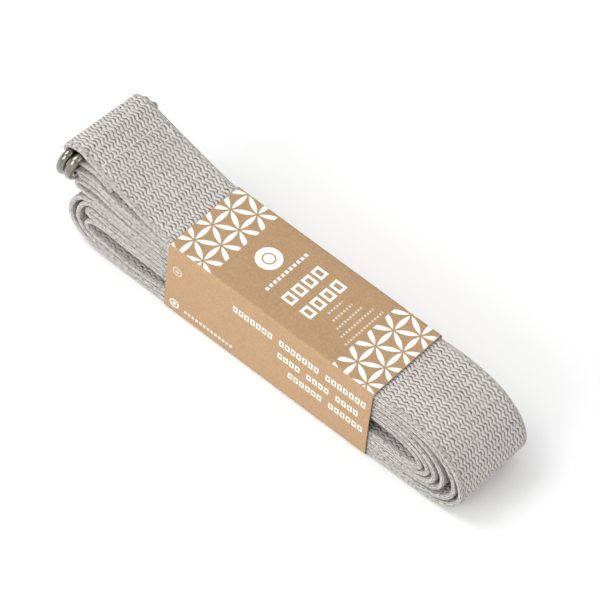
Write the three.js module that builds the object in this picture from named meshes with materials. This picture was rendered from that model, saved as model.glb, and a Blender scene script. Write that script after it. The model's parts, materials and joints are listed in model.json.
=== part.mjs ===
// A cotton yoga and stretching strap, folded flat into a hank for the shelf.
// One length of webbing carries two D-rings in a sewn loop at one end and a sewn hem at the other.
// A wrap-round card sleeve holds the folded layers together.
// Millimetres, +Z up, +X towards the end with the plain nested folds, +Y to the back.
import * as THREE from 'three';

// Webbing
const WEBBING_WIDTH = 38;
const WEBBING_THICKNESS = 1.9;
const TAIL_PITCH = 2.45;         // from one layer's middle to the next, straight down, at the loop's seam

// Card sleeve: one sheet wrapped round the folds, its ends glued one over the other at the back
const SLEEVE_LENGTH = 100;
const SLEEVE_HEIGHT = 37;
const CARD_THICKNESS = 0.4;
const CARD_CLEARANCE = 0.3;      // between the card and the webbing's edges
const LAP_GAP = 0.25;            // between the two ends of the card
const LAP_LOW = 9;               // the inner end stops here
const LAP_HIGH = 28;             // and the outer end here
const SLEEVE_EDGE_RADIUS = 1.1;

// D-rings of round wire
const WIRE_DIAMETER = 3.6;
const RING_INSIDE_WIDTH = 40;
const RING_INSIDE_DEPTH = 20;
const RING_CORNER_RADIUS = 3.4;  // at the wire's centre line
const RING_LEAN = 16;            // degrees that the hanging rings stand out from the vertical
const OUTER_BAR = { x: -50.2, z: 45.5 };
const INNER_BAR = { x: -45.9, z: 46.1 };
const LOOP_CENTRE = new THREE.Vector3(-48, 0, 45.8);

// The ring end doesn't lie quite square: its folds lean back and the loop on top twists
const YAW = 2.5;                 // degrees, the back edge is set towards +X
const LOOP_TWIST = 2.5;          // degrees, the back edge hangs lower
const SKEW_START = -10;          // x where the skew starts
const SKEW_FULL = -40;           // x where it is full

// Sewing: each seam is a box of thread, once on top and once underneath
const THREAD = 0.4;
const THREAD_GAP = 0.25;
const SEAM_HALF_WIDTH = 17;
const LOOP_SEAM = [-36.8, -31];  // x of the seam's two rows across the strap
const HEM_SEAM = [60, 66.5];
const HEM_END_X = 70;
const HEM_PITCH = 2.6;
const HEM_DEPTH = 12;

// The folded webbing is one path in the XZ plane. It has 13 runs, numbered from the top down.
// Each row gives the heights of the runs' middles at one x, measured from the sleeve's left edge.
const stations = [
  { x: -44, z: spread([[2, 39.7], [3, 37], [4, 33.7], [5, 30.2]]) },
  { x: -38, z: spread([[2, 40], [4, 34.2], [5, 29.6], [9, 18.8]]) },
  { x: -32, z: spread([[1, 43.9], [2, 37.8], [4, 32.8], [5, 28.6], [10, 16.2], [11, 7.9], [13, 2.5]]) },
  { x: -26, z: spread([[1, 41.7], [2, 36.2], [4, 31.2], [5, 27.8], [10, 15.9], [11, 6.7], [13, 1.7]]) },
  { x: -19, z: spread([[1, 39.6], [2, 35.1], [4, 30.2], [5, 27.2], [10, 15.4], [11, 5.9], [13, 1.3]]) },
  { x: -12, z: spread([[1, 37.8], [2, 34.4], [4, 29.5], [5, 26.8], [10, 14.9], [11, 6.1], [13, 1.3]]) },
  { x: -5, z: spread([[1, 36.2], [2, 33.8], [10, 14.4], [11, 6.9], [13, 1.7]]) },
  { x: 3, z: spread([[1, 35], [10, 14.2], [11, 7.7], [13, 2]]) },
  { x: 16, z: spread([[1, 35], [10, 14.6], [11, 6.9], [13, 2]]) },
  { x: 46, z: spread([[1, 35], [6, 23.3], [7, 20.6], [8, 13.6], [13, 2]]) },
  { x: 86, z: spread([[1, 35], [6, 22.8], [7, 19.7], [8, 13], [13, 2]]) },
  { x: 100, z: spread([[1, 35], [6, 22.8], [8, 13], [13, 2]]) },
];

// Every fold: the two runs that it joins, how far out it reaches and at what height,
// and where it leaves the upper and the lower run.
const RIGHT_REACH = [143.4, 140, 134.6, 131.2, 127.8, 124.4];
const folds = [
  ...RIGHT_REACH.map((reach, i) => ({
    upper: i + 1, lower: 13 - i, reach, middle: 13.8 + 0.35 * i,
    upperStart: reach - 29.4 + 2 * i, lowerStart: reach - 13.4 + 1.4 * i,
  })),
  { upper: 2, lower: 3, reach: -45.8, middle: 38.35, upperStart: -44.3, lowerStart: -44.3 },
  { upper: 4, lower: 5, reach: -46.4, middle: 31.95, upperStart: -44.5, lowerStart: -44.5 },
  { upper: 6, lower: 13, reach: -48.5, middle: 14.5, upperStart: -38, lowerStart: -32 },
  { upper: 7, lower: 12, reach: -45, middle: 14.3, upperStart: -38, lowerStart: -32 },
  { upper: 8, lower: 9, reach: -40.2, middle: 20.15, upperStart: -38.7, lowerStart: -38.7 },
  { upper: 10, lower: 11, reach: -40.4, middle: 12.2, upperStart: -32, lowerStart: -32 },
];

// The order in which the strap passes through its runs, from the ring end to the free end
const RUN_ORDER = [1, 13, 6, 8, 9, 5, 4, 10, 11, 3, 2, 12, 7];

// Heights for the runs between the given ones, evenly spread
function spread(known) {
  const heights = [];
  for (let i = 0; i + 1 < known.length; i++) {
    const [first, top] = known[i];
    const [last, bottom] = known[i + 1];
    for (let run = first; run <= last; run++) {
      heights[run] = top + (bottom - top) * (run - first) / (last - first);
    }
  }
  return heights;
}

function foldOf(run, side) {
  return folds.find((f) => (f.upper === run || f.lower === run) && Math.sign(f.reach) === side);
}

// Height of a run's middle at any x, in straight lines between the stations
function runHeight(run, x) {
  const known = stations.filter((s) => s.z[run] !== undefined);
  const next = known.findIndex((s) => s.x >= x);
  if (next === 0) return known[0].z[run];
  if (next < 0) return known[known.length - 1].z[run];
  const [a, b] = [known[next - 1], known[next]];
  return THREE.MathUtils.lerp(a.z[run], b.z[run], (x - a.x) / (b.x - a.x));
}

// Where a run starts or stops, on the side given: at its fold, or at the strap's own end
function runLimit(run, side) {
  const fold = foldOf(run, side);
  if (fold) return fold.upper === run ? fold.upperStart : fold.lowerStart;
  return HEM_END_X - HEM_PITCH / 2;
}

function runPoints(run, from, to) {
  const [low, high] = [Math.min(from, to) + 2, Math.max(from, to) - 2];
  const xs = stations.map((s) => s.x).filter((x) => x > low && x < high);
  const ordered = from < to ? [from, ...xs, to] : [to, ...xs, from].reverse();
  return ordered.map((x) => new THREE.Vector3(x, 0, runHeight(run, x)));
}

// A fold's points, as two quarter ellipses that meet where it reaches furthest
function foldPoints(fold, fromUpper) {
  const points = [];
  for (const angle of [30, 55, 75, 90, 105, 125, 150].map(THREE.MathUtils.degToRad)) {
    const above = angle < Math.PI / 2;
    const start = above ? fold.upperStart : fold.lowerStart;
    const end = runHeight(above ? fold.upper : fold.lower, start);
    const x = start + (fold.reach - start) * Math.sin(angle);
    const z = fold.middle + (end - fold.middle) * Math.abs(Math.cos(angle));
    points.push(new THREE.Vector3(x, 0, z));
  }
  return fromUpper ? points : points.reverse();
}

// The loop for the rings: under the bars from the sewn tail, round the outer bar and back on top
function loopPoints() {
  const round = WIRE_DIAMETER / 2 + 0.3 + WEBBING_THICKNESS / 2;
  const seam = [-29.5, -33.5, -37.5];
  const points = seam.map((x) => new THREE.Vector3(x, 0, ringRunHeight(x) - TAIL_PITCH));
  points.push(new THREE.Vector3(-42, 0, 43.4), new THREE.Vector3(-46, 0, 43.1));
  for (const angle of [-80, -45, 0, 45, 80].map(THREE.MathUtils.degToRad)) {
    points.push(new THREE.Vector3(
      OUTER_BAR.x - round * Math.cos(angle), 0, OUTER_BAR.z + round * Math.sin(angle)));
  }
  points.push(new THREE.Vector3(INNER_BAR.x, 0, INNER_BAR.z + round), new THREE.Vector3(-42, 0, 47.5));
  for (const x of seam.reverse()) points.push(new THREE.Vector3(x, 0, ringRunHeight(x)));
  return points;
}

// The top run climbs evenly from the sleeve towards the rings
function ringRunHeight(x) {
  return 41.7 + (-26 - x) * 0.36;
}

// The free end is turned under once and sewn down
function hemPoints() {
  const half = HEM_PITCH / 2;
  const middle = runHeight(7, HEM_END_X) - half;
  const points = [60, 30, 0, -30, -60, -90].map(THREE.MathUtils.degToRad).map((angle) => new THREE.Vector3(
    HEM_END_X - half + half * Math.cos(angle), 0, middle + half * Math.sin(angle)));
  return [...points, new THREE.Vector3(HEM_END_X - HEM_DEPTH, 0, middle - half)];
}

// The whole middle line of the strap, from the sewn tail at the rings to the sewn hem
function strapPath() {
  const points = loopPoints();
  let side = 1;
  for (const run of RUN_ORDER) {
    const from = run === 1 ? -26 : runLimit(run, -side);
    points.push(...runPoints(run, from, runLimit(run, side)));
    const fold = foldOf(run, side);
    if (fold) points.push(...foldPoints(fold, fold.upper === run));
    side = -side;
  }
  points.push(...hemPoints());
  return new THREE.CatmullRomCurve3(points, false, 'centripetal');
}

// Points along the path: its own, with two more on each stretch where it turns, and none
// in the middle of a straight
function sampled(curve) {
  const own = curve.points;
  const kept = [own[0]];
  for (let i = 1; i < own.length; i++) {
    const before = own[Math.max(i - 2, 0)];
    const after = own[Math.min(i + 1, own.length - 1)];
    const turn = own[i - 1].clone().sub(before).angleTo(after.clone().sub(own[i]));
    const parts = turn > 0.25 && own[i].distanceTo(own[i - 1]) < 8 ? 3 : 1;
    for (let part = 1; part <= parts; part++) {
      kept.push(curve.getPoint((i - 1 + part / parts) / (own.length - 1)));
    }
  }
  return kept.filter((p, i) => {
    if (i === 0 || i === kept.length - 1) return true;
    return p.clone().sub(kept[i - 1]).angleTo(kept[i + 1].clone().sub(p)) > 0.004;
  });
}

// A ribbon's outline is its middle line moved half a thickness to either side
function ribbonShape(points, thickness) {
  const left = [];
  const right = [];
  points.forEach((p, i) => {
    const before = points[Math.max(i - 1, 0)];
    const after = points[Math.min(i + 1, points.length - 1)];
    const along = after.clone().sub(before).normalize();
    const half = thickness / 2;
    left.push(new THREE.Vector2(p.x - along.z * half, p.z + along.x * half));
    right.push(new THREE.Vector2(p.x + along.z * half, p.z - along.x * half));
  });
  return new THREE.Shape([...left, ...right.reverse()]);
}

// Extrudes a shape drawn in XZ along Y, centred on y = 0
function alongY(shape, width) {
  const geometry = new THREE.ExtrudeGeometry(shape, { depth: width, bevelEnabled: false, steps: 1 });
  geometry.rotateX(Math.PI / 2);
  geometry.translate(0, width / 2, 0);
  return geometry;
}

// Sets the ring end's back edge towards +X, and lowers it where it belongs to the loop on top
function skewRingEnd(geometry) {
  const at = geometry.attributes.position;
  const yaw = Math.tan(THREE.MathUtils.degToRad(YAW));
  const twist = Math.tan(THREE.MathUtils.degToRad(LOOP_TWIST));
  for (let i = 0; i < at.count; i++) {
    const [x, y, z] = [at.getX(i), at.getY(i), at.getZ(i)];
    if (x > SKEW_START) continue;
    const share = THREE.MathUtils.smoothstep(SKEW_START - x, 0, SKEW_START - SKEW_FULL);
    at.setX(i, x + share * y * yaw);
    if (z > loopUnderside(x)) at.setZ(i, z - share * y * twist);
  }
  geometry.computeVertexNormals();
  return geometry;
}

// A line between the loop on top and the folds below it
function loopUnderside(x) {
  if (x < -47) return 38;
  return x < -38 ? 41.5 : runHeight(2, x) + 1.15;
}

function webbing() {
  const outline = ribbonShape(sampled(strapPath()), WEBBING_THICKNESS);
  return skewRingEnd(alongY(outline, WEBBING_WIDTH));
}

// A closed D of round wire, its straight bar on the Y axis and its bow hanging below
function dRing() {
  const half = (RING_INSIDE_WIDTH + WIRE_DIAMETER) / 2;
  const r = RING_CORNER_RADIUS;
  const bowHeight = RING_INSIDE_DEPTH + WIRE_DIAMETER - r;
  const path = new THREE.CurvePath();
  const quarter = (y, sign) => {
    const corner = new THREE.Vector3(0, sign * half, 0);
    const onBar = new THREE.Vector3(0, y, 0);
    const onLeg = new THREE.Vector3(0, sign * half, -r);
    const stops = sign > 0 ? [onBar, onLeg] : [onLeg, onBar];
    return new THREE.QuadraticBezierCurve3(stops[0], corner, stops[1]);
  };
  path.add(new THREE.LineCurve3(new THREE.Vector3(0, -half + r, 0), new THREE.Vector3(0, half - r, 0)));
  path.add(quarter(half - r, 1));
  const bow = [];
  for (let angle = 0; angle <= 180; angle += 10) {
    const turn = THREE.MathUtils.degToRad(angle);
    bow.push(new THREE.Vector3(0, half * Math.cos(turn), -r - bowHeight * Math.sin(turn)));
  }
  path.add(new THREE.CatmullRomCurve3(bow, false, 'centripetal'));
  path.add(quarter(-half + r, -1));
  return new THREE.TubeGeometry(path, 72, WIRE_DIAMETER / 2, 12, true);
}

// A box of thread over the face of a layer whose middle height is given by heightAt
function seam([from, to], heightAt, side) {
  const off = side * (WEBBING_THICKNESS / 2 + THREAD_GAP + THREAD / 2);
  const slope = (heightAt(to) - heightAt(from)) / (to - from);
  const [h, round] = [SEAM_HALF_WIDTH, 0.8];
  const corners = [
    [from, -h + round], [from, h - round], [from + round, h], [to - round, h],
    [to, h - round], [to, -h + round], [to - round, -h], [from + round, -h],
  ];
  const points = corners.map(([x, y]) => new THREE.Vector3(
    x, y, heightAt(x) + off * Math.hypot(1, slope)));
  const path = new THREE.CatmullRomCurve3(points, true, 'centripetal');
  return skewRingEnd(new THREE.TubeGeometry(path, 64, THREAD / 2, 6, true));
}

const loopTop = (x) => ringRunHeight(x);
const loopUnder = (x) => ringRunHeight(x) - TAIL_PITCH;
const hemTop = (x) => runHeight(7, x);
const hemUnder = () => runHeight(7, HEM_END_X) - HEM_PITCH;

// The sleeve's sheet in the YZ plane, from its outer end down the back, round the front and
// over the top to its inner end
function sleeve() {
  const half = WEBBING_WIDTH / 2 + CARD_CLEARANCE + CARD_THICKNESS / 2;
  const outer = half + CARD_THICKNESS + LAP_GAP;
  const [low, high] = [CARD_THICKNESS / 2, SLEEVE_HEIGHT - CARD_THICKNESS / 2];
  const points = [new THREE.Vector3(outer, 0, LAP_HIGH)];
  const round = (y, z, start) => {
    for (let step = 0; step <= 4; step++) {
      const angle = THREE.MathUtils.degToRad(start - 22.5 * step);
      points.push(new THREE.Vector3(
        y + SLEEVE_EDGE_RADIUS * Math.cos(angle), 0, z + SLEEVE_EDGE_RADIUS * Math.sin(angle)));
    }
  };
  const r = SLEEVE_EDGE_RADIUS;
  round(outer - r, low + r, 0);
  round(-half + r, low + r, -90);
  round(-half + r, high - r, 180);
  round(half - r, high - r, 90);
  points.push(new THREE.Vector3(half, 0, LAP_LOW));
  const sheet = new THREE.ExtrudeGeometry(
    ribbonShape(points, CARD_THICKNESS), { depth: SLEEVE_LENGTH, bevelEnabled: false, steps: 1 });
  sheet.rotateX(Math.PI / 2);
  sheet.rotateZ(Math.PI / 2);
  return sheet;
}

// Finishes
const cotton = new THREE.MeshStandardMaterial({ color: 0xbab5b0, roughness: 0.9, metalness: 0 });
const thread = new THREE.MeshStandardMaterial({ color: 0xc9c4be, roughness: 0.8, metalness: 0 });
const nickel = new THREE.MeshStandardMaterial({ color: 0xb9b8ac, roughness: 0.2, metalness: 1 });
const kraft = new THREE.MeshStandardMaterial({ color: 0xc09c78, roughness: 0.85, metalness: 0 });

function named(name, geometry, material) {
  const mesh = new THREE.Mesh(geometry, material);
  mesh.name = name;
  return mesh;
}

// The two rings hang side by side in the loop and turn with it
function ringPair() {
  const pair = new THREE.Group();
  pair.position.copy(LOOP_CENTRE);
  pair.rotation.set(THREE.MathUtils.degToRad(-LOOP_TWIST), 0, THREE.MathUtils.degToRad(-YAW), 'ZXY');
  for (const [name, bar] of [['outer_d_ring', OUTER_BAR], ['inner_d_ring', INNER_BAR]]) {
    const ring = named(name, dRing(), nickel);
    ring.position.set(bar.x - LOOP_CENTRE.x, 0, bar.z - LOOP_CENTRE.z);
    ring.rotation.y = THREE.MathUtils.degToRad(RING_LEAN);
    pair.add(ring);
  }
  return pair;
}

const strap = new THREE.Group();
strap.add(
  named('webbing_strap', webbing(), cotton),
  named('loop_seam_top', seam(LOOP_SEAM, loopTop, 1), thread),
  named('loop_seam_under', seam(LOOP_SEAM, loopUnder, -1), thread),
  named('hem_seam_top', seam(HEM_SEAM, hemTop, 1), thread),
  named('hem_seam_under', seam(HEM_SEAM, hemUnder, -1), thread),
  ringPair(),
  named('card_sleeve', sleeve(), kraft),
);

// The origin is under the middle of the whole strap, on the surface that it lies on
const middle = new THREE.Box3().setFromObject(strap, true).getCenter(new THREE.Vector3());
strap.position.set(-middle.x, -middle.y, 0);

const group = new THREE.Group();
group.add(strap);
export default group;
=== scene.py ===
"""A folded cotton stretching strap with two D-rings, held by a printed card sleeve."""

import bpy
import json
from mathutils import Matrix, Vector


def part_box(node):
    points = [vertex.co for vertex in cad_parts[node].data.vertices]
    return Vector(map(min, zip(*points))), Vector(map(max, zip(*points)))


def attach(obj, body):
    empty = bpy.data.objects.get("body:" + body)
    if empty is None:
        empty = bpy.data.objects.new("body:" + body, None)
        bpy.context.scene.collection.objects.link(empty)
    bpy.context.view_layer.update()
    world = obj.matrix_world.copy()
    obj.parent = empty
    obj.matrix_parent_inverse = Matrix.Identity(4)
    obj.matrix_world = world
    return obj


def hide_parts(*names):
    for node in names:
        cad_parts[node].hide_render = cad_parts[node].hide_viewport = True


bl_info = {
    "name": "Folded Stretching Strap",
    "version": (1, 0, 0),
    "blender": (4, 5, 0),
    "location": "View3D > Sidebar > Strap",
    "description": "Builds a folded webbing strap with stitched D-rings and a card sleeve",
    "category": "Add Mesh",
}

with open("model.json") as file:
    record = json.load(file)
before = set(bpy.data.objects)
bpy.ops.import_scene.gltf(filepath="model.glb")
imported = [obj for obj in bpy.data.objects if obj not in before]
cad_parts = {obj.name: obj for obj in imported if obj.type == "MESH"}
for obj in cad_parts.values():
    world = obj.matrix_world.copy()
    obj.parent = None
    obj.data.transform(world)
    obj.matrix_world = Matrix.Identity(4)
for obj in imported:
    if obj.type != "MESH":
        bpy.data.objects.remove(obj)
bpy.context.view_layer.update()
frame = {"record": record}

import json
import math

import bmesh
import bpy
import numpy as np
from bpy.props import FloatProperty, FloatVectorProperty, IntProperty, PointerProperty
from mathutils import Quaternion, Vector, noise

MM = 0.001
SLEEVE_LOW, SLEEVE_HIGH = (Vector(corner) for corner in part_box("card_sleeve"))
STRAP_LOW, STRAP_HIGH = (Vector(corner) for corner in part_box("webbing_strap"))
JOINTS = {joint["name"]: joint for joint in frame["record"]["behaviour"]["joints"]}

# The strap's path is worked out in millimetres, x from the sleeve's left edge and z from the floor
PATH_ORIGIN = Vector((SLEEVE_LOW.x, (STRAP_LOW.y + STRAP_HIGH.y) / 2, 0))


# ---------------------------------------------------------------------------
# Sizes and colours
# ---------------------------------------------------------------------------

def colour(name, description, default):
    """A colour property, with its default as linear values."""
    return FloatVectorProperty(
        name=name, description=description, subtype="COLOR", size=3, min=0, max=1, default=default)


def measure(name, description, default):
    """A length property in metres."""
    return FloatProperty(name=name, description=description, default=default, unit="LENGTH")


def angle(name, description, degrees):
    """An angle property, with its default given in degrees."""
    return FloatProperty(
        name=name, description=description, default=math.radians(degrees), subtype="ANGLE")


def linear(red, green, blue):
    """Linear values of a colour given as 0 to 255 on a screen."""
    return tuple(((c / 255 + 0.055) / 1.055) ** 2.4 for c in (red, green, blue))


class WebbingSettings(bpy.types.PropertyGroup):
    """Sizes and colours of the woven strap."""
    width: measure("Width", "Width of the webbing", 38 * MM)
    thickness: measure("Thickness", "Thickness of the webbing", 2.05 * MM)
    length: measure("Length", "Length of the webbing, unfolded", 2.4)
    ribs: IntProperty(
        name="Ribs", description="Ribs of the weave across the strap", default=22, min=4)
    pick: measure("Pick", "Length of one bump of the weave", 1.76 * MM)
    relief: measure("Relief", "Height of the weave's bumps", 0.24 * MM)
    yarn: colour("Yarn", "Colour of the cotton", linear(203, 198, 193))
    # Painted shade: the dark colour laid into the weave's creases and low places
    painted_crease_shade: colour("Crease", "Colour between the ribs", linear(76, 72, 69))
    thread: colour("Thread", "Colour of the sewing thread", linear(218, 213, 207))


class RingSettings(bpy.types.PropertyGroup):
    """Sizes and colour of the D-rings."""
    wire: measure("Wire", "Diameter of the wire", 3.6 * MM)
    inside_width: measure("Inside width", "Length of the bar inside", 40 * MM)
    inside_depth: measure("Inside depth", "Depth inside the ring", 20 * MM)
    corner: measure("Corner", "Radius at the bar's ends", 3.4 * MM)
    lean: angle("Lean", "Lean of the hanging rings", 16)
    metal: colour("Metal", "Colour of the plating", linear(142, 138, 126))


class SleeveSettings(bpy.types.PropertyGroup):
    """Sizes and colours of the card sleeve."""
    card: measure("Card", "Thickness of the card", 0.4 * MM)
    lap_gap: measure("Lap gap", "Gap between the lapped ends", 0.25 * MM)
    lap_low: measure("Lap low", "Height of the inner end", 9 * MM)
    lap_high: measure("Lap high", "Height of the outer end", 28 * MM)
    edge: measure("Edge", "Radius of the folded edges", 1.3 * MM)
    kraft: colour("Kraft", "Colour of the brown card", linear(163, 132, 97))
    ink: colour("Ink", "Colour of the print", linear(222, 221, 217))


class StageSettings(bpy.types.PropertyGroup):
    """The floor's colour and where the camera stands."""
    floor: colour("Floor", "Colour of the floor", linear(234, 234, 234))
    azimuth: angle("Azimuth", "Camera's direction", 35.25)
    elevation: angle("Elevation", "Camera's height", 52)
    roll: angle("Roll", "Camera's roll", 7.3)
    distance: measure("Distance", "Camera's distance", 2.0)


STRAND_PITCH = 0.66 * MM     # fine strands in the webbing's edges
MARGIN, MARGIN_BLEND = 16.6, 1.0  # millimetres from the middle to where those edges begin
THREAD_TWIST = 0.5 * MM      # one turn of the thread
SOFT_INK = 0.12 * MM         # over which the print's edges fade
PETAL_SPACING = 10.2 * MM
TOP_MIDDLE = 21              # millimetres from the near edge to the middle of the top print


# ---------------------------------------------------------------------------
# Materials
# ---------------------------------------------------------------------------

class Socket:
    """An output socket of a material's nodes, on which Python's arithmetic adds Math nodes."""

    def __init__(self, tree, output=None):
        self.tree = tree
        self.output = output

    def add(self, kind, settings=None, inputs=None, output=0):
        """Adds a node: its settings first, then the values or links of its sockets."""
        node = self.tree.nodes.new(kind)
        for name, value in (settings or {}).items():
            if name == "stops":
                fill_ramp(node.color_ramp, value)
            else:
                setattr(node, name, value)
        for key, value in (inputs or {}).items():
            if isinstance(value, Socket):
                self.tree.links.new(value.output, node.inputs[key])
            else:
                node.inputs[key].default_value = value
        return Socket(self.tree, node.outputs[output])

    def math(self, operation, *others):
        """A Math node on this value and the others."""
        inputs = dict(enumerate((self, *others)))
        return self.add("ShaderNodeMath", {"operation": operation}, inputs)

    def __add__(self, other):
        return self.math("ADD", other)

    def __radd__(self, other):
        return self.math("ADD", other)

    def __sub__(self, other):
        return self.math("SUBTRACT", other)

    def __rsub__(self, other):
        return self.add("ShaderNodeMath", {"operation": "SUBTRACT"}, {0: other, 1: self})

    def __mul__(self, other):
        return self.math("MULTIPLY", other)

    def __rmul__(self, other):
        return self.math("MULTIPLY", other)

    def __truediv__(self, other):
        return self.math("DIVIDE", other)

    def __abs__(self):
        return self.math("ABSOLUTE")

    def above(self, low, high):
        """0 up to low, 1 from high, smooth between."""
        inputs = {"Value": self, "From Min": low, "From Max": high}
        return self.add("ShaderNodeMapRange", {"interpolation_type": "SMOOTHSTEP"}, inputs)

    def blend(self, start, end):
        """A colour from start to end as this value goes from 0 to 1."""
        settings = {"data_type": "RGBA"}
        start, end = (c if isinstance(c, Socket) else (*c[:3], 1) for c in (start, end))
        return self.add("ShaderNodeMix", settings, {0: self, 6: start, 7: end}, 2)

    def parts(self):
        """The three numbers of a vector."""
        first = self.add("ShaderNodeSeparateXYZ", None, {0: self})
        outputs = first.output.node.outputs
        return [Socket(self.tree, outputs[i]) for i in range(3)]

    def noise(self, scale, detail=2.0, roughness=0.5):
        inputs = {"Vector": self, "Scale": scale, "Detail": detail, "Roughness": roughness}
        return self.add("ShaderNodeTexNoise", None, inputs)

    def vector(self, x, y, z=0.0):
        return self.add("ShaderNodeCombineXYZ", None, {0: x, 1: y, 2: z})

    def bump(self, strength, distance):
        """A normal from this height."""
        inputs = {"Strength": strength, "Distance": distance, "Height": self}
        return self.add("ShaderNodeBump", None, inputs)


def fill_ramp(ramp, stops):
    """Sets a colour ramp's stops, given as (place, colour)."""
    while len(ramp.elements) < len(stops):
        ramp.elements.new(1)
    for element, (place, shade) in zip(ramp.elements, stops):
        element.position = place
        element.color = (*shade, 1)


def new_material(name, fixed):
    """A material, a socket to build its nodes on, and its shader with these fixed values."""
    material = bpy.data.materials.new(name)
    material.use_nodes = True
    shader = material.node_tree.nodes["Principled BSDF"]
    for socket, value in fixed.items():
        shader.inputs[socket].default_value = value
    return material, Socket(material.node_tree), shader


def link(shader, **sockets):
    """Links values to the shader's sockets; an underscore in a name stands for a space."""
    for name, value in sockets.items():
        value.tree.links.new(value.output, shader.inputs[name.replace("_", " ")])


def webbing_material(settings):
    """Coarse plain weave: staggered bumps of yarn in rows, broken lines along the edges, fuzz."""
    material, base, shader = new_material("cotton_webbing", {
        "Specular IOR Level": 0.2, "Sheen Weight": 0.12, "Sheen Roughness": 0.5, "Roughness": 0.95})
    along, across = base.add("ShaderNodeUVMap", {"uv_map": "webbing"}).parts()[:2]

    # The rows and the picks, pulled about by uneven yarn
    stray = base.vector(along * 340, across * 420).noise(1, 2) - 0.5
    drift = base.vector(along * 420, across * 260, 5.0).noise(1, 2) - 0.5
    sway = base.vector(along * 45, across * 520, 11.0).noise(1, 1) - 0.5
    row = across / webbing_rib_pitch(settings) + stray * 0.7
    step = along / settings.pick + drift * 0.9 + sway * 0.8

    # The face: ribs that swing from side to side, with a dip between one bump and the next
    swing = (step * math.pi).math("SINE")
    wave = (swing * 1.5).math("MAXIMUM", -1.0).math("MINIMUM", 1.0) * 0.22
    ridge = abs(((row - wave) * math.pi).math("SINE")).math("POWER", 0.8)
    pick = 0.5 - (step * (2 * math.pi)).math("COSINE") * 0.5
    # The swing term deepens every second crease; through the colour this is painted shade on one
    # side of the bumps, as light from above gives
    bumps = 1 - (1 - ridge) * (pick * 0.36 + swing * 0.13 + 0.5) - (1 - pick) * 0.22

    # The edges: fine strands that run along the strap, broken up
    strand = abs((across * (math.pi / STRAND_PITCH) + stray * 3.0).math("SINE"))
    stipple = base.vector(along * 850, across * 1500, 8.0).noise(1, 2, 0.55).above(0.32, 0.6)
    lines = (strand * 0.55 + 0.45) * (stipple * 0.5 + 0.5)
    margin = abs(across).above(MARGIN * MM, (MARGIN + MARGIN_BLEND) * MM)
    weave = bumps * (1 - margin) + lines * margin

    # The yarn's own fuzz and slow changes of its colour, and painted shade: the weave's low places
    # take the dark crease colour
    fuzz = base.vector(along * 1500, across * 3400).noise(1, 3, 0.7)
    grain = base.vector(along * 700, across * 1300, 2.0).noise(1, 2, 0.6)
    slubs = base.vector(along * 130, across * 620).noise(1, 2)
    patches = base.vector(along * 16, across * 40).noise(1, 3)
    # Painted shade: where the weave is low, between ribs, bumps and edge strands, the colour goes
    # towards the dark crease colour
    crease_shade_and_fuzz = weave.above(0.22, 0.86) * 0.95 + (fuzz + grain - 1.0) * 1.2 + 0.05
    cloth = crease_shade_and_fuzz.blend(settings.painted_crease_shade, settings.yarn)
    cast = (slubs * 0.6 + patches * 0.7).above(0.35, 0.95)
    tint = cast.blend((0.86, 0.85, 0.84), (1.0, 1.0, 1.0))
    shaded = base.add(
        "ShaderNodeMix", {"data_type": "RGBA", "blend_type": "MULTIPLY"},
        {0: 1.0, 6: cloth, 7: tint}, 2)
    height = weave + fuzz * 0.4 + grain * 0.35
    link(shader, Base_Color=shaded, Normal=height.bump(0.9, 0.42 * MM))
    return material


def thread_material(settings):
    """Twisted cotton thread."""
    material, base, shader = new_material("cotton_thread", {
        "Specular IOR Level": 0.3, "Sheen Weight": 0.2, "Roughness": 0.85})
    x, y, z = base.add("ShaderNodeTexCoord", output=3).parts()
    twist = ((x + y * 2 + z) * (2 * math.pi / THREAD_TWIST)).math("SINE") * 0.5 + 0.5
    # Painted shade: the twist's grooves are coloured darker, following the same height as the bump
    dark = tuple(c * 0.7 for c in settings.thread)
    link(shader, Base_Color=twist.blend(dark, settings.thread), Normal=twist.bump(0.5, 0.08 * MM))
    return material


def metal_material(settings):
    """Bright nickel plating with faint polishing lines and dull patches."""
    material, base, shader = new_material("nickel_plating", {"Metallic": 1.0})
    place = base.add("ShaderNodeTexCoord", output=3)
    cloud = place.noise(260, 3)
    x, y, z = place.parts()
    scratches = base.vector(x * 900, y * 120, z * 900).noise(1, 2)
    dull = tuple(c * 0.72 for c in settings.metal)
    link(
        shader,
        Base_Color=cloud.above(0.3, 0.7).blend(dull, settings.metal),
        Roughness=cloud.above(0.35, 0.75) * 0.14 + scratches * 0.08 + 0.09,
        Normal=(scratches + cloud * 0.5).bump(0.12, 0.05 * MM),
    )
    return material


def any_of(masks):
    """The highest of the masks."""
    joined, *others = masks
    for mask in others:
        joined = joined.math("MAXIMUM", mask)
    return joined


def petals(a, b, spacing):
    """1 in the petals between the points of a triangular lattice, by overlapping circles."""
    row = spacing * math.sqrt(3) / 2
    masks = []
    for turn in (0, math.pi / 3, 2 * math.pi / 3):
        along = a * math.cos(turn) + b * math.sin(turn)
        beside = b * math.cos(turn) - a * math.sin(turn)
        index = (beside / row).math("ROUND")
        off = abs(beside - index * row) + row
        place = (along / spacing - index * 0.5).math("FRACT") - 0.5
        reach = distance(place * spacing, off)
        masks.append(1 - reach.above(spacing - 0.38 * MM, spacing - 0.24 * MM))
    return any_of(masks)


def distance(a, b):
    """Distance from the origin of a flat pattern."""
    return (a * a + b * b).math("SQRT")


def step_up(value, place, soft=SOFT_INK):
    """0 below the place and 1 above it."""
    return value.above(place - soft / 2, place + soft / 2)


def between(value, low, high):
    """1 between low and high."""
    return step_up(value, low) * (1 - step_up(value, high))


def dashes(value, low, high, pitch):
    """1 on a row of dashes between low and high."""
    part = ((value - low) / pitch).math("FRACT")
    return between(value, low, high) * (1 - part.above(0.6, 0.66))


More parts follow.
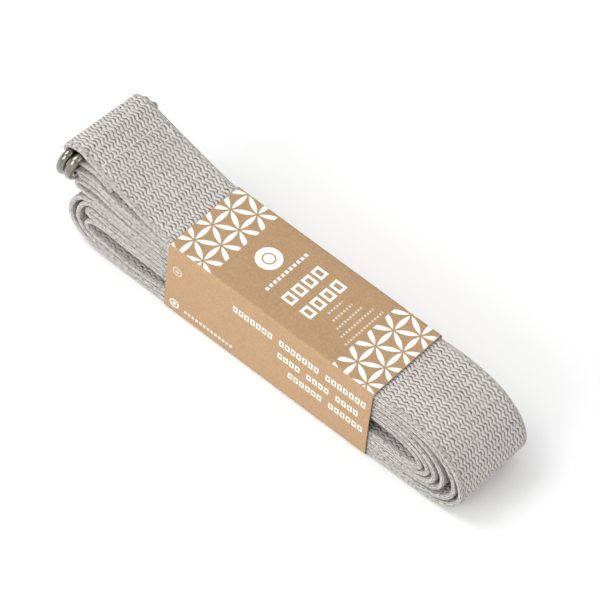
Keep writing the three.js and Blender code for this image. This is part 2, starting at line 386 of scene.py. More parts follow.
def frames(along, low, high, pitch, off, height, stroke, group=99):
    """1 on a row of small open boxes between low and high, with a gap after each group."""
    gap = ((along - low) / (pitch * group)).math("FRACT").above(1 - 1 / group, 1.001 - 1 / group)
    part = ((along - low) / pitch).math("FRACT") * pitch
    wide = pitch * 0.76
    solid = between(part, 0, wide) * (1 - step_up(off, height / 2))
    hollow = between(part, stroke, wide - stroke) * (1 - step_up(off, height / 2 - stroke))
    return between(along, low, high) * solid * (1 - hollow) * (1 - gap)


def card_material(settings, printed):
    """Brown kraft card with fibres; the outer side may carry the white print."""
    material, base, shader = new_material("printed_card" if printed else "plain_card", {
        "Specular IOR Level": 0.4, "Sheen Weight": 0.22, "Sheen Roughness": 0.35})
    place = base.add("ShaderNodeTexCoord", output=3)
    x, y, z = place.parts()
    mottle = place.noise(1100, 4, 0.65)
    cloud = place.noise(70, 2)
    fibre = base.vector(x * 620, y * 2600, z * 2600).noise(1, 2)
    dark = tuple(c * 0.84 for c in settings.kraft)
    light = tuple(min(1.0, c * 1.1) for c in settings.kraft)
    board = (mottle * 0.6 + cloud * 0.12 + fibre * 0.3).above(0.32, 0.72).blend(dark, light)
    height = mottle * 0.6 + fibre * 0.5
    if printed:
        ink = print_mask(x, y, z)
        worn = ink * (1 - mottle.above(0.6, 0.8) * 0.25)
        board = worn.blend(board, settings.ink)
        height = height * (1 - ink * 0.4)
        link(shader, Roughness=0.72 - ink * 0.12)
    else:
        shader.inputs["Roughness"].default_value = 0.85
    link(shader, Base_Color=board, Normal=height.bump(0.22, 0.06 * MM))
    return material


def print_mask(x, y, z):
    """The white print on the top panel and on the near side."""
    across, depth, down = x - SLEEVE_LOW.x, y - SLEEVE_LOW.y, SLEEVE_HIGH.z - z
    on_top = 1 - down.above(0.65 * MM, 0.75 * MM)
    on_side = 1 - depth.above(0.65 * MM, 0.75 * MM)
    return any_of((top_print(across, depth) * on_top, side_print(across, down) * on_side))


def top_print(across, depth):
    """A band of petals at each end, and between them a disc and plain rows in place of words."""
    length = SLEEVE_HIGH.x - SLEEVE_LOW.x
    # The far band is the near one turned half round
    far_end = step_up(across, length / 2, 0.2 * MM)
    from_end = across + far_end * (length - across * 2)
    from_edge = depth + far_end * (41.2 * MM - depth * 2)
    lattice = petals(from_edge - 8.1 * MM, from_end - 5.2 * MM, PETAL_SPACING)
    margins = between(depth, 0.6 * MM, 39.4 * MM) * between(from_end, 0.3 * MM, 20.3 * MM)

    radius = distance(across - 30.9 * MM, depth - TOP_MIDDLE * MM)
    disc = (1 - radius.above(5.3 * MM, 5.45 * MM)) * (1 - between(radius, 2.2 * MM, 2.8 * MM))

    masks = [margins * lattice, disc]
    for place in (48.8, 57.9):
        off = abs(across - place * MM)
        masks.append(frames(
            depth, 10.2 * MM, 32 * MM, 5.6 * MM, off, 5.6 * MM, 1.15 * MM))
    # Rows of dashes: place, thickness, length, middle, pitch and how well the ink covers
    rows = [(39.8, 1.5, 24.0, 21.2, 2.2, 1.0)]
    rows += [(63.6 + 3.5 * i, 0.9, wide, TOP_MIDDLE, 1.5, 0.5)
             for i, wide in enumerate((8, 11, 15, 18.5, 21.5))]
    for place, thick, wide, middle, pitch, cover in rows:
        row = between(across, (place - thick / 2) * MM, (place + thick / 2) * MM)
        ends = (middle - wide / 2) * MM, (middle + wide / 2) * MM
        masks.append(row * dashes(depth, *ends, pitch * MM) * cover)
    return any_of(masks)


def side_print(across, down):
    """Three lines of small open boxes, a row of dashes and two round marks."""
    cell = 2.85 * MM
    masks = []
    for place, low, cells, group in ((9, 32.6, 23, 8), (16.4, 55.4, 15, 5), (23.4, 61.1, 13, 7)):
        off = abs(down - place * MM)
        masks.append(frames(
            across, low * MM, low * MM + cell * cells, cell, off, 3.0 * MM, 0.62 * MM, group))
    caption = between(down, 31.1 * MM, 32.5 * MM)
    masks.append(caption * dashes(across, 10 * MM, 34 * MM, 1.9 * MM) * 0.8)
    for drop, cover in ((12, 0.4), (31.2, 1.0)):
        radius = distance(across - 5 * MM, down - drop * MM)
        dot = 1 - radius.above(0.8 * MM, 0.95 * MM)
        masks.append(any_of((between(radius, 1.7 * MM, 2.3 * MM), dot)) * cover)
    return any_of(masks)


# ---------------------------------------------------------------------------
# Mesh helpers
# ---------------------------------------------------------------------------

def clear_selection():
    """Leaves edit mode with nothing selected."""
    if bpy.context.object and bpy.context.object.mode != "OBJECT":
        bpy.ops.object.mode_set(mode="OBJECT")
    bpy.ops.object.select_all(action="DESELECT")


def select_edges(obj, test):
    """Selects the edges of the object in edit mode that pass the test."""
    shape = bmesh.from_edit_mesh(obj.data)
    for items in (shape.faces, shape.edges, shape.verts):
        for item in items:
            item.select = False
    bpy.context.tool_settings.mesh_select_mode = (False, True, False)
    for edge in filter(test, shape.edges):
        edge.select_set(True)
    bmesh.update_edit_mesh(obj.data)


def mesh_object(name, vertices, faces):
    """A smooth-shaded object of these vertices and faces."""
    mesh = bpy.data.meshes.new(name)
    mesh.from_pydata([tuple(v) for v in vertices], [], faces)
    mesh.shade_smooth()
    mesh.update()
    piece = bpy.data.objects.new(name, mesh)
    bpy.context.scene.collection.objects.link(piece)
    return piece


def turn_faces_out(piece, merge=False):
    """Points the closed piece's faces outwards, after merging its doubles if asked."""
    clear_selection()
    piece.select_set(True)
    bpy.context.view_layer.objects.active = piece
    bpy.ops.object.mode_set(mode="EDIT")
    bpy.ops.mesh.select_all(action="SELECT")
    if merge:
        bpy.ops.mesh.remove_doubles(threshold=0.001 * MM)
    bpy.ops.mesh.normals_make_consistent(inside=False)
    bpy.ops.object.mode_set(mode="OBJECT")


def finish_piece(piece, body, node):
    """Rides the piece on its body in place of its CAD node."""
    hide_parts(node)
    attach(piece, body)


# ---------------------------------------------------------------------------
# The folded path of the strap, in millimetres
# ---------------------------------------------------------------------------

# Where the rings' bars lie inside the loop, as (x, z)
BAR_OUTER = (-50.2, 45.5)
BAR_INNER = (-45.9, 46.1)
BAR_GAP = 1.25            # from the wire to the middle of the webbing round it
LOOP_START = -26.0        # the top run begins its climb to the rings here
LOOP_SLOPE = 0.36
TAIL_PITCH = 2.45         # from the top run down to the sewn tail
HEM_PITCH = 2.6           # from the free end's run down to its hem
FREE_RUN = 7
HEM_END_X = 70.0
HEM_DEPTH = 12.0
YAW = math.radians(2.5)
LOOP_TWIST = math.radians(2.5)
SKEW_START, SKEW_FULL = -10.0, -40.0
LOOP_SEAM = (-36.8, -31.0)
HEM_SEAM = (60.0, 66.5)


def spread(*known):
    """Heights for the runs between the given (run, height) pairs, evenly spread."""
    heights = {}
    for (first, top), (last, bottom) in zip(known, known[1:]):
        for run in range(first, last + 1):
            heights[run] = top + (bottom - top) * (run - first) / (last - first)
    return heights


# The heights of the thirteen runs' middles, from the top down, at each x
STATIONS = [
    (-44, spread((2, 39.7), (3, 37), (4, 33.7), (5, 30.2))),
    (-38, spread((2, 40), (4, 34.2), (5, 29.6), (9, 18.8))),
    (-32, spread((1, 43.9), (2, 37.8), (4, 32.8), (5, 28.6), (10, 16.2), (11, 7.9), (13, 2.5))),
    (-26, spread((1, 41.7), (2, 36.2), (4, 31.2), (5, 27.8), (10, 15.9), (11, 6.7), (13, 1.7))),
    (-19, spread((1, 39.6), (2, 35.1), (4, 30.2), (5, 27.2), (10, 15.4), (11, 5.9), (13, 1.3))),
    (-12, spread((1, 37.8), (2, 34.4), (4, 29.5), (5, 26.8), (10, 14.9), (11, 6.1), (13, 1.3))),
    (-5, spread((1, 36.2), (2, 33.8), (10, 14.4), (11, 6.9), (13, 1.7))),
    (3, spread((1, 35), (10, 14.2), (11, 7.7), (13, 2))),
    (16, spread((1, 35), (10, 14.6), (11, 6.9), (13, 2))),
    (46, spread((1, 35), (6, 23.3), (7, 20.6), (8, 13.6), (13, 2))),
    (86, spread((1, 35), (6, 22.8), (7, 19.7), (8, 13), (13, 2))),
    (100, spread((1, 35), (6, 22.8), (8, 13), (13, 2))),
]
RIGHT_REACH = (143.4, 140, 134.6, 131.2, 127.8, 124.4)

# Every fold: upper run, lower run, how far out it reaches and at what height, and where it
# leaves the upper and the lower run
FOLDS = [
    (i + 1, 13 - i, reach, 13.8 + 0.35 * i, reach - 29.4 + 2 * i, reach - 13.4 + 1.4 * i)
    for i, reach in enumerate(RIGHT_REACH)
] + [
    (2, 3, -45.8, 38.35, -44.3, -44.3),
    (4, 5, -46.4, 31.95, -44.5, -44.5),
    (6, 13, -48.5, 14.5, -38, -32),
    (7, 12, -45, 14.3, -38, -32),
    (8, 9, -40.2, 20.15, -38.7, -38.7),
    (10, 11, -40.4, 12.2, -32, -32),
]
RUN_ORDER = (1, 13, 6, 8, 9, 5, 4, 10, 11, 3, 2, 12, 7)
SEEN_FOLDS = {(1, 13), (2, 3), (4, 5)}


def fold_of(run, side):
    """The fold at the run's right end (side 1) or left end (side -1), if it has one."""
    for fold in FOLDS:
        if run in fold[:2] and (fold[2] > 0) == (side > 0):
            return fold
    return None


def run_height(run, x):
    """Height of a run's middle at x, in straight lines between the stations."""
    known = [(at, heights[run]) for at, heights in STATIONS if run in heights]
    return float(np.interp(x, *zip(*known)))


def ring_run_height(x):
    """The top run climbs evenly from the sleeve towards the rings."""
    return 41.7 + (LOOP_START - x) * LOOP_SLOPE


def tail_height(x):
    """The sewn tail lies under the top run."""
    return ring_run_height(x) - TAIL_PITCH


def free_end_height(x):
    """The free end is the last run, in the middle of the fold."""
    return run_height(FREE_RUN, x)


def hem_height(x):
    """The hem lies level under the free end."""
    return free_end_height(HEM_END_X) - HEM_PITCH


def run_limit(run, side):
    """Where a run ends on this side: at its fold, or at the strap's free end."""
    fold = fold_of(run, side)
    if fold:
        return fold[4] if fold[0] == run else fold[5]
    return HEM_END_X - HEM_PITCH / 2


def run_points(run, start, end):
    """The run's points from start to end, at the stations between them."""
    low, high = min(start, end) + 2, max(start, end) - 2
    inside = [x for x, _ in STATIONS if low < x < high]
    ordered = [start, *inside, end] if start < end else [start, *reversed(inside), end]
    return [(x, run_height(run, x)) for x in ordered]


def fold_points(fold, from_upper):
    """Two quarter ellipses that meet where the fold reaches furthest."""
    upper, lower, reach, middle, upper_start, lower_start = fold
    points = []
    for angle in (30, 55, 75, 90, 105, 125, 150):
        start, run = (upper_start, upper) if angle < 90 else (lower_start, lower)
        turn = math.radians(angle)
        end = run_height(run, start)
        points.append((
            start + (reach - start) * math.sin(turn),
            middle + (end - middle) * abs(math.cos(turn))))
    return points if from_upper else points[::-1]


def loop_points(wire):
    """Under the bars from the sewn tail, round the outer bar and back on top."""
    round_bar = wire / 2 + BAR_GAP
    seam = (-29.5, -33.5, -37.5)
    points = [(x, tail_height(x)) for x in seam]
    points += [(-42, 43.4), (-46, 43.1)]
    for angle in (-80, -45, 0, 45, 80):
        turn = math.radians(angle)
        points.append((
            BAR_OUTER[0] - round_bar * math.cos(turn), BAR_OUTER[1] + round_bar * math.sin(turn)))
    points += [(BAR_INNER[0], BAR_INNER[1] + round_bar), (-42, 47.5)]
    return points + [(x, ring_run_height(x)) for x in reversed(seam)]


def hem_points():
    """Round the strap's end and back under it."""
    half = HEM_PITCH / 2
    middle = free_end_height(HEM_END_X) - half
    turns = [math.radians(angle) for angle in (60, 30, 0, -30, -60, -90)]
    points = [(HEM_END_X - half + half * math.cos(t), middle + half * math.sin(t)) for t in turns]
    return points + [(HEM_END_X - HEM_DEPTH, middle - half)]


def strap_points(wire):
    """The strap's own points with what each belongs to: loop, a run, a fold or hem."""
    points = [(*p, "loop") for p in loop_points(wire)]
    side = 1
    for run in RUN_ORDER:
        start = LOOP_START if run == 1 else run_limit(run, -side)
        points += [(*p, run) for p in run_points(run, start, run_limit(run, side))]
        fold = fold_of(run, side)
        if fold:
            points += [(*p, fold[:2]) for p in fold_points(fold, fold[0] == run)]
        side = -side
    return points + [(*p, "hem") for p in hem_points()]


def smooth_line(points, steps=24):
    """A centripetal Catmull-Rom curve through the points, and each sample's place between them."""
    known = np.array(points, float)
    ends = np.vstack([2 * known[0] - known[1], known, 2 * known[-1] - known[-2]])
    samples, places = [], []
    for i in range(len(known) - 1):
        p = ends[i:i + 4]
        gaps = np.sqrt(np.linalg.norm(np.diff(p, axis=0), axis=1))
        gaps = np.sqrt(np.linalg.norm(np.diff(p, axis=0), axis=1))
        knots = np.concatenate([[0], np.cumsum(gaps)])
        share = np.arange(steps) / steps
        t = (knots[1] + share * (knots[2] - knots[1]))[:, None]

        def mix(a, b, low, high):
            return a * (high - t) / (high - low) + b * (t - low) / (high - low)

        first = [mix(p[k], p[k + 1], knots[k], knots[k + 1]) for k in range(3)]
        second = [mix(first[k], first[k + 1], knots[k], knots[k + 2]) for k in range(2)]
        samples.append(mix(second[0], second[1], knots[1], knots[2]))
        places.append(i + share)
    samples.append(known[-1:])
    places.append(np.array([len(known) - 1.0]))
    return np.vstack(samples), np.concatenate(places)


def skew(points, on_loop):
    """Sets the ring end's back edge towards +X, and lowers it on the loop."""
    share = np.clip((SKEW_START - points[..., 0]) / (SKEW_START - SKEW_FULL), 0, 1)
    share = share * share * (3 - 2 * share)
    moved = points.copy()
    moved[..., 0] += share * points[..., 1] * math.tan(YAW)
    moved[..., 2] -= np.where(on_loop, share * points[..., 1] * math.tan(LOOP_TWIST), 0)
    return moved


def placed(points):
    """Points (x, y, z) of the path in millimetres to the object's place in metres."""
    return points * MM + np.array(PATH_ORIGIN)


# ---------------------------------------------------------------------------
# Webbing, in millimetres until it is placed
# ---------------------------------------------------------------------------

FACE_HALF = 18.4          # the flat of the face ends here and the rounded edge begins
FINE = 4                  # fine columns in each coarse one
WEAVE_MEAN = 0.6          # the bumps' height, from 0 to 1, that lies on the flat face
CUT_END = 18.0            # the cut ends look as the edge does at this place across
FADE_ROWS = 6             # rows over which a finely woven stretch begins and ends
SLEEVE_HIDES = (3, 97)    # the sleeve hides the strap between these places
# The rounded edge as (beyond the flat, share of half the thickness), and the lengths between
EDGE = ((0.36, 0.86), (0.58, 0.5), (0.63, 0.0), (0.58, -0.5), (0.36, -0.86))
EDGE_STEPS = (0.39, 0.43, 0.52, 0.52, 0.43, 0.39)


def webbing_rib_pitch(settings):
    """Width of one rib, in metres."""
    return 2 * FACE_HALF * MM / settings.ribs


def weave_height(along, across, rib, pick):
    """Height of the weave from 0 to 1, at places along and across the strap."""
    wave = 0.25 * np.clip(1.5 * np.sin(math.pi * along / pick), -1, 1)
    ridge = np.abs(np.sin(math.pi * (across / rib - wave))) ** 0.8
    bumps = ridge * (0.58 + 0.42 * (0.5 - 0.5 * np.cos(2 * math.pi * along / pick)))
    margin = np.clip((np.abs(across) - MARGIN) / MARGIN_BLEND, 0, 1)
    return bumps * (1 - margin) + WEAVE_MEAN * margin


def is_seen(owner, x):
    """Whether this place of the path shows on the outside of the folded strap."""
    if owner == 1:
        return not 1 < x < 99
    if owner == 13:
        return x > 118
    if owner == (6, 13):
        return x < -30
    return owner == "loop" or owner in SEEN_FOLDS


def webbing_rows(settings, wire):
    """Rows along the strap: middle, normal, place along it, if finely woven, if on the loop."""
    points = strap_points(wire)
    line, place = smooth_line([p[:2] for p in points])
    steps = np.linalg.norm(np.diff(line, axis=0), axis=1)
    along = np.concatenate([[0], np.cumsum(steps)])
    tangent = np.gradient(line, along, axis=0)
    tangent /= np.linalg.norm(tangent, axis=1)[:, None]
    turn = np.abs(np.gradient(np.unwrap(np.arctan2(tangent[:, 1], tangent[:, 0])), along))
    owner = [points[int(round(k))][2] for k in place]
    x = line[:, 0]
    seen = np.array([is_seen(o, at) for o, at in zip(owner, x)])
    inside = (x > SLEEVE_HIDES[0]) & (x < SLEEVE_HIDES[1])
    woven = seen & ~inside

    # Rows stand close together where the weave shows and where a hidden fold turns
    spacing = np.where(woven, settings.pick / MM / 3, np.where(inside, 5.0, 2.0))
    spacing = np.where(~seen & (turn > 0.06), 0.6, spacing)
    count = np.concatenate([[0], np.cumsum(steps / spacing[1:])])
    at = np.interp(np.arange(0, count[-1], 1.0), count, along)
    rows = np.column_stack([np.interp(at, along, line[:, k]) for k in range(2)])
    facing = np.column_stack([np.interp(at, along, tangent[:, k]) for k in range(2)])
    facing /= np.linalg.norm(facing, axis=1)[:, None]
    normal = np.column_stack([-facing[:, 1], facing[:, 0]])
    nearest = np.searchsorted(along, at).clip(0, len(along) - 1)
    on_loop = [owner[k] in ("loop", 1) for k in nearest]
    return rows, normal, at, woven[nearest], on_loop


def wander(at, x):
    """How far a layer strays sideways, up to 1 mm, and not at all inside the sleeve."""
    free = np.clip(np.maximum(-x - 2, x - 102) / 22, 0, 1)
    stray = np.array([noise.noise(Vector((a / 70, 3.1, 0.7))) for a in at])
    return stray * free


def webbing_mesh(settings, wire):
    """The strap's vertices in metres, its faces, and each corner's place on the cloth."""
    rows, normal, at, fine, on_loop = webbing_rows(settings, wire)
    rib = webbing_rib_pitch(settings) / MM
    half = settings.thickness / MM / 2
    coarse_y = np.linspace(-FACE_HALF, FACE_HALF, settings.ribs + 1)
    fine_y = np.linspace(-FACE_HALF, FACE_HALF, settings.ribs * FINE + 1)
    tops = [fine_y if woven else coarse_y for woven in fine]
    edge_y = FACE_HALF + np.array([e[0] for e in EDGE])
    edge_z = half * np.array([e[1] for e in EDGE])
    fade = fade_at_ends(fine)
    drift = wander(at, rows[:, 0])
    vertices, starts = [], [0]
    for i, top_y in enumerate(tops):
        lift = np.full(len(top_y), half)
        if fine[i]:
            bumps = weave_height(at[i], top_y, rib, settings.pick / MM) - WEAVE_MEAN
            lift += bumps * fade[i] * settings.relief / MM
        ys = np.concatenate([top_y, edge_y, coarse_y[::-1], -edge_y[::-1]])
        offs = np.concatenate([lift, edge_z, np.full(len(coarse_y), -half), edge_z[::-1]])
        ring = np.column_stack([
            rows[i, 0] + normal[i, 0] * offs, ys + drift[i], rows[i, 1] + normal[i, 1] * offs])
        vertices.append(skew(ring, on_loop[i]))
        starts.append(starts[-1] + len(ring))
    faces, uvs = webbing_faces(starts, tops, at, coarse_y)
    return placed(np.vstack(vertices)), faces, uvs


def fade_at_ends(fine):
    """1 well inside each finely woven stretch and 0 at its ends."""
    def rows_since_start(flags):
        counts = []
        for woven in flags:
            counts.append((counts[-1] if counts else 0) + 1 if woven else 0)
        return np.array(counts)

    nearest_end = np.minimum(rows_since_start(fine), rows_since_start(fine[::-1])[::-1])
    return np.clip((nearest_end - 1) / FADE_ROWS, 0, 1)


def webbing_faces(starts, tops, at, coarse_y):
    """Faces between the rows, with places along and across the strap for each corner."""
    faces, uvs = [], []
    arc = FACE_HALF + np.cumsum(EDGE_STEPS)
    round_back = [FACE_HALF, *arc[:-1], *coarse_y[::-1], *-arc[-2::-1], -FACE_HALF]
    spans = list(zip(round_back, round_back[1:]))
    spans[len(EDGE)] = (arc[-2], arc[-1])
    spans[-len(EDGE) - 1] = (-arc[-1], -arc[-2])

    def add(loop):
        faces.append(tuple(vertex for vertex, _ in loop))
        uvs.extend(place for _, place in loop)

    def across_face(i, columns):
        """The row's vertices in these columns of its face, with their places."""
        return [(starts[i] + j, (at[i], tops[i][j])) for j in columns]

    def chain(i):
        """The row's vertices from the face's far edge round the back to its near edge."""
        return [*range(starts[i] + len(tops[i]) - 1, starts[i + 1]), starts[i]]

    for i in range(len(tops) - 1):
        if len(tops[i]) == len(tops[i + 1]):
            for j in range(len(tops[i]) - 1):
                add(across_face(i, [j]) + across_face(i + 1, [j, j + 1]) + across_face(i, [j + 1]))
        else:
            near_step, far_step = (FINE if len(tops[k]) > len(coarse_y) else 1 for k in (i, i + 1))
            for j in range(len(coarse_y) - 1):
                far = range(j * far_step, (j + 1) * far_step + 1)
                near = range(j * near_step, (j + 1) * near_step + 1)
                add(across_face(i + 1, far) + across_face(i, reversed(near)))
        near, far = chain(i), chain(i + 1)
        for k, (y0, y1) in enumerate(spans):
            add([(near[k], (at[i], y0)), (far[k], (at[i + 1], y0)),
                 (far[k + 1], (at[i + 1], y1)), (near[k + 1], (at[i], y1))])
    for i, order in ((0, 1), (len(tops) - 1, -1)):
        add([(vertex, (at[i], CUT_END)) for vertex in range(starts[i], starts[i + 1])][::order])
    return faces, uvs


# Stitches, in millimetres: their pitch along a seam, the part of it that shows, how far their
# middles stand from the cloth's middle, and half their width and height
STITCH_PITCH = 3.0
STITCH_ENDS = (0.1, 0.9)
STITCH_LIFT = 1.13
STITCH_HALF_WIDTH, STITCH_HALF_HEIGHT = 0.34, 0.24
STITCHED_HALF = 16.5
SEAMS = (
    ("loop_stitches_top", "loop_seam_top", LOOP_SEAM, ring_run_height, 1, True),
    ("loop_stitches_under", "loop_seam_under", LOOP_SEAM, tail_height, -1, True),
    ("hem_stitches_top", "hem_seam_top", HEM_SEAM, free_end_height, 1, False),
    ("hem_stitches_under", "hem_seam_under", HEM_SEAM, hem_height, -1, False),
)


def seam_mesh(stitch, seam, height_at, side, on_loop):
    """Two rows of stitches across a layer's face and two lines along its sides that close them into
    a box, all copies of one.
    """
    unit = np.array([v.co for v in stitch.vertices])
    polygons = [tuple(p.vertices) for p in stitch.polygons]
    lift = side * STITCH_LIFT * math.hypot(1, LOOP_SLOPE if on_loop else 0)
    up = np.array([0.0, 0.0, 1.0]) * side
    (a, b), h = seam, STITCHED_HALF
    lines = [((a, -h), (a, h)), ((b, h), (b, -h)), ((a, h), (b, h)), ((b, -h), (a, -h))]
    vertices, faces = [], []
    for start, end in np.array(lines):
        count = max(2, round(np.linalg.norm(end - start) / STITCH_PITCH))
        for k in range(count):
            tips = []
            for share in STITCH_ENDS:
                x, y = start + (end - start) * (k + share) / count
                tips.append(skew(np.array([x, y, height_at(x) + lift]), on_loop))
            run = (tips[1] - tips[0]) / 2
            width = np.cross(run / np.linalg.norm(run), up)
            axes = np.array([run, width * STITCH_HALF_WIDTH, up * STITCH_HALF_HEIGHT])
            base = len(vertices)
            vertices.extend((tips[0] + tips[1]) / 2 + unit @ axes)
            faces.extend(tuple(base + v for v in polygon) for polygon in polygons)
    return placed(np.array(vertices)), faces


class STRAP_OT_webbing(bpy.types.Operator):
    """Make the folded strap of woven cotton"""
    bl_idname = "strap.webbing"
    bl_label = "Webbing"

    def execute(self, context):
        settings = context.scene.strap_webbing
        wire = context.scene.strap_rings.wire / MM
        vertices, faces, uvs = webbing_mesh(settings, wire)
        piece = mesh_object("folded_webbing", vertices, faces)
        layer = piece.data.uv_layers.new(name="webbing")
        layer.data.foreach_set("uv", (np.array(uvs, float) * MM).ravel())
        turn_faces_out(piece)
        piece.data.materials.append(webbing_material(settings))
        finish_piece(piece, "strap", "webbing_strap")
        return {"FINISHED"}


class STRAP_OT_stitching(bpy.types.Operator):
    """Sew the loop for the rings and the hem at the free end"""
    bl_idname = "strap.stitching"
    bl_label = "Stitching"

    def execute(self, context):
        clear_selection()
        bpy.ops.mesh.primitive_uv_sphere_add(segments=10, ring_count=6, radius=1)
        stitch = context.object
        bpy.ops.object.mode_set(mode="EDIT")
        bpy.ops.transform.rotate(
            value=math.pi / 2, orient_axis="Y", center_override=(0, 0, 0))
        bpy.ops.object.mode_set(mode="OBJECT")
        material = thread_material(context.scene.strap_webbing)
        for name, node, *seam in SEAMS:
            piece = mesh_object(name, *seam_mesh(stitch.data, *seam))
            piece.data.materials.append(material)
            turn_faces_out(piece)
            finish_piece(piece, "strap", node)
        bpy.data.objects.remove(stitch)
        return {"FINISHED"}


# ---------------------------------------------------------------------------
# D-rings
# ---------------------------------------------------------------------------

BAR_POINTS, CORNER_POINTS, BOW_POINTS = 24, 8, 64
BEVEL_RESOLUTION = 8
RINGS = (
    ("outer_ring_wire", "outer_d_ring", "outer_ring"),
    ("inner_ring_wire", "inner_d_ring", "inner_ring"),
)


def ring_outline(settings):
    """The D's middle line in its own plane: y along the bar, z down to the bow."""
    half = (settings.inside_width + settings.wire) / 2
    r = settings.corner
    bow = settings.inside_depth + settings.wire - r
    corner = [(half - r * (1 - t) ** 2, -r * t ** 2) for t in np.linspace(0, 1, CORNER_POINTS)[1:]]
    points = [(y, 0.0) for y in np.linspace(-half + r, half - r, BAR_POINTS)] + corner
    for angle in np.linspace(0, math.pi, BOW_POINTS)[1:-1]:
        points.append((half * math.cos(angle), -r - bow * math.sin(angle)))
    return points + [(-y, z) for y, z in reversed(corner)]


class STRAP_OT_rings(bpy.types.Operator):
    """Bend the two D-rings from round wire and plate them"""
    bl_idname = "strap.rings"
    bl_label = "D-rings"

    def execute(self, context):
        settings = context.scene.strap_rings
        material = metal_material(settings)
        for name, node, body in RINGS:
            ring = self.bend_wire(context, settings, JOINTS[f"{body}_swing"])
            ring.name = name
            turn_faces_out(ring, merge=True)
            ring.data.materials.clear()
            ring.data.materials.append(material)
            finish_piece(ring, body, node)
        return {"FINISHED"}

    def bend_wire(self, context, settings, joint):
        """A D of round wire that hangs from its bar on the joint's axis."""
        clear_selection()
        bpy.ops.curve.primitive_bezier_circle_add(radius=settings.inside_width / 2)
        curve = context.object.data
        curve.splines.clear()
        outline = ring_outline(settings)
        spline = curve.splines.new("POLY")
        spline.points.add(len(outline) - 1)
        centre, bar = Vector(joint["pos_m"]), Vector(joint["axis"]).normalized()
        hang = Vector((-math.sin(settings.lean), 0, -math.cos(settings.lean)))
        hang = (hang - bar * hang.dot(bar)).normalized()
        for point, (y, z) in zip(spline.points, outline):
            point.co = (*(centre + bar * y - hang * z), 1)
        spline.use_cyclic_u = True
        curve.dimensions = "3D"
        curve.bevel_depth = settings.wire / 2
        curve.bevel_resolution = BEVEL_RESOLUTION
        curve.twist_mode = "Z_UP"
        bpy.ops.object.convert(target="MESH")
        bpy.ops.object.shade_smooth()
        return context.object


# ---------------------------------------------------------------------------
# Card sleeve
# ---------------------------------------------------------------------------

FOLD_SEGMENTS = 6
SLICES = (24, 8, 8)       # parts that the card is cut into along x, y and z, so that it can bow


class STRAP_OT_sleeve(bpy.types.Operator):
    """Fold the card sleeve round the strap from one sheet"""
    bl_idname = "strap.sleeve"
    bl_label = "Card sleeve"

    def execute(self, context):
        settings = context.scene.strap_sleeve
        low, high = SLEEVE_LOW, SLEEVE_HIGH
        middle = (low + high) / 2
        lap = Vector((middle.x, high.y, settings.lap_high / 2))
        inner_back = high.y - settings.card - settings.lap_gap
        clear_selection()
        bpy.ops.mesh.primitive_plane_add(size=1, location=lap, rotation=(math.pi / 2, 0, 0))
        sleeve = context.object
        sleeve.name = "card_wrap"
        bpy.ops.object.transform_apply(location=True, rotation=True, scale=True)

        # The lap on the back, and from its lower edge round the strap to the inner lap
        bpy.ops.object.mode_set(mode="EDIT")
        bpy.ops.transform.resize(
            value=(high.x - low.x, 1, settings.lap_high), center_override=lap)
        select_edges(sleeve, lambda e: all(v.co.z < settings.lap_high / 3 for v in e.verts))
        moves = (
            (0, low.y - high.y, 0),
            (0, 0, high.z - low.z),
            (0, inner_back - low.y, 0),
            (0, 0, settings.lap_low - high.z),
        )
        for move in moves:
            bpy.ops.mesh.extrude_region_move(TRANSFORM_OT_translate={"value": move})
        bpy.ops.mesh.select_all(action="SELECT")
        bpy.ops.mesh.normals_make_consistent(inside=False)

        # Its folds are rounded, and it is sliced
        select_edges(sleeve, lambda e: len(e.link_faces) == 2)
        bpy.ops.mesh.bevel(offset=settings.edge, segments=FOLD_SEGMENTS, affect="EDGES")
        for axis, parts in enumerate(SLICES):
            normal = Vector([float(k == axis) for k in range(3)])
            for k in range(1, parts):
                bpy.ops.mesh.select_all(action="SELECT")
                bpy.ops.mesh.bisect(plane_co=low + (high - low) * k / parts, plane_no=normal)
        bpy.ops.object.mode_set(mode="OBJECT")

        face_out(sleeve, middle)
        soften_card(sleeve, low, high)
        sleeve.data.materials.append(card_material(settings, True))
        sleeve.data.materials.append(card_material(settings, False))
        solid = sleeve.modifiers.new("card", "SOLIDIFY")
        solid.thickness = settings.card
        solid.offset = -1
        solid.material_offset = 1
        solid.material_offset_rim = 1
        bpy.ops.object.modifier_apply(modifier=solid.name)
        bpy.ops.object.shade_smooth_by_angle(angle=math.radians(40))
        finish_piece(sleeve, "sleeve", "card_sleeve")
        return {"FINISHED"}


def face_out(sleeve, middle):
    """Turns the open sheet's faces away from the sleeve's middle."""
    outward = sum(
        (p.center - middle).dot(Vector((0, p.normal.y, p.normal.z))) * p.area
        for p in sleeve.data.polygons)
    if outward < 0:
        sleeve.data.flip_normals()


def soften_card(sleeve, low, high):
    """Lets the panels bow a little between their folds, the near side more towards the sleeve's
    high-x mouth.
    """
    for vertex in sleeve.data.vertices:
        x, y, z = vertex.co
        along = (x - low.x) / (high.x - low.x)
        across = (y - low.y) / (high.y - low.y)
        up = (z - low.z) / (high.z - low.z)
        waves = noise.noise(Vector((x * 30, y * 40, z * 40)))
        if up > 0.97:
            vertex.co.z += MM * (0.10 * math.sin(math.pi * across) * waves - 0.05)
        if across < 0.03:
            belly = math.sin(math.pi * up)
            vertex.co.y -= MM * belly * (0.45 * along + 0.12 + 0.25 * waves)


# ---------------------------------------------------------------------------
# Stage
# ---------------------------------------------------------------------------

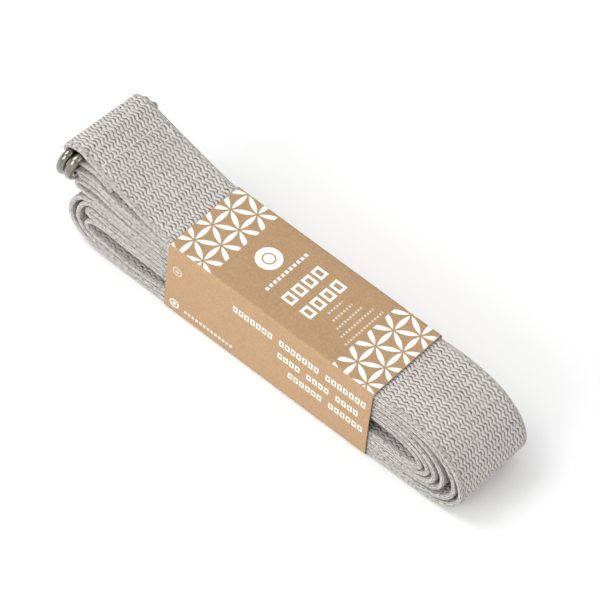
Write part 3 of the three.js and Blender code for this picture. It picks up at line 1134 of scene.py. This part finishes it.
# Each lamp's name, place, size and power; all of them face the origin
LAMPS = (
    ("key", (-0.85, -0.35, 1.2), 0.9, 12.0),
    ("fill", (-0.25, -1.25, 0.42), 1.1, 15.5),
    ("back", (0.1, 1.25, 1.1), 1.0, 2.0),
    ("end", (1.25, -0.1, 0.6), 0.8, 3.5),
)
WORLD_STRENGTH = 0.72
LENS = 321
LOOKS_AT = (43.6, 6.5, 18.5)  # in the path's millimetres


class STRAP_OT_stage(bpy.types.Operator):
    """Set up the floor, the lights and the camera"""
    bl_idname = "strap.stage"
    bl_label = "Stage"

    def execute(self, context):
        settings = context.scene.strap_stage
        scene = context.scene
        scene.view_settings.view_transform = "Standard"
        clear_selection()
        bpy.ops.mesh.primitive_plane_add(size=6, location=(0, 0, 0))
        floor = context.object
        floor.name = "floor"
        material, _, _ = new_material("floor", {
            "Base Color": (*settings.floor, 1), "Roughness": 0.9, "Specular IOR Level": 0.1})
        floor.data.materials.append(material)
        self.light(scene)
        self.camera(scene, settings)
        return {"FINISHED"}

    def light(self, scene):
        world = bpy.data.worlds.new("studio")
        world.use_nodes = True
        background = world.node_tree.nodes["Background"].inputs
        background["Color"].default_value = (1, 1, 1, 1)
        background["Strength"].default_value = WORLD_STRENGTH
        scene.world = world
        for name, place, size, power in LAMPS:
            lamp = bpy.data.lights.new(name, "AREA")
            lamp.size = size
            lamp.energy = power
            light = bpy.data.objects.new(name, lamp)
            light.location = place
            light.rotation_euler = (-Vector(place)).to_track_quat("-Z", "Y").to_euler()
            scene.collection.objects.link(light)

    def camera(self, scene, settings):
        lens = bpy.data.cameras.new("camera")
        lens.sensor_width = 36
        lens.lens = LENS
        lens.clip_end = 20
        camera = bpy.data.objects.new("camera", lens)
        a, e = settings.azimuth, settings.elevation
        back = Vector((math.sin(a) * math.cos(e), -math.cos(a) * math.cos(e), math.sin(e)))
        camera.location = Vector(placed(np.array(LOOKS_AT))) + back * settings.distance
        turn = (-back).to_track_quat("-Z", "Y")
        camera.rotation_mode = "QUATERNION"
        camera.rotation_quaternion = turn @ Quaternion((0, 0, 1), settings.roll)
        scene.collection.objects.link(camera)
        scene.camera = camera


OPERATORS = (
    STRAP_OT_webbing, STRAP_OT_stitching, STRAP_OT_rings, STRAP_OT_sleeve, STRAP_OT_stage)


class STRAP_PT_panel(bpy.types.Panel):
    """Lists the strap's pieces in the sidebar"""
    bl_label = "Stretching strap"
    bl_idname = "STRAP_PT_panel"
    bl_space_type = "VIEW_3D"
    bl_region_type = "UI"
    bl_category = "Strap"

    def draw(self, context):
        for operator in OPERATORS:
            self.layout.operator(operator.bl_idname)


SETTINGS = {
    "strap_webbing": WebbingSettings,
    "strap_rings": RingSettings,
    "strap_sleeve": SleeveSettings,
    "strap_stage": StageSettings,
}
CLASSES = (*SETTINGS.values(), *OPERATORS, STRAP_PT_panel)


def register():
    for cls in CLASSES:
        bpy.utils.register_class(cls)
    for name, cls in SETTINGS.items():
        setattr(bpy.types.Scene, name, PointerProperty(type=cls))


def unregister():
    for name in SETTINGS:
        delattr(bpy.types.Scene, name)
    for cls in reversed(CLASSES):
        bpy.utils.unregister_class(cls)


def main():
    register()
    bpy.ops.strap.stage()
    bpy.ops.strap.sleeve()
    bpy.ops.strap.webbing()
    bpy.ops.strap.stitching()
    bpy.ops.strap.rings()


if __name__ == "__main__":
    main()
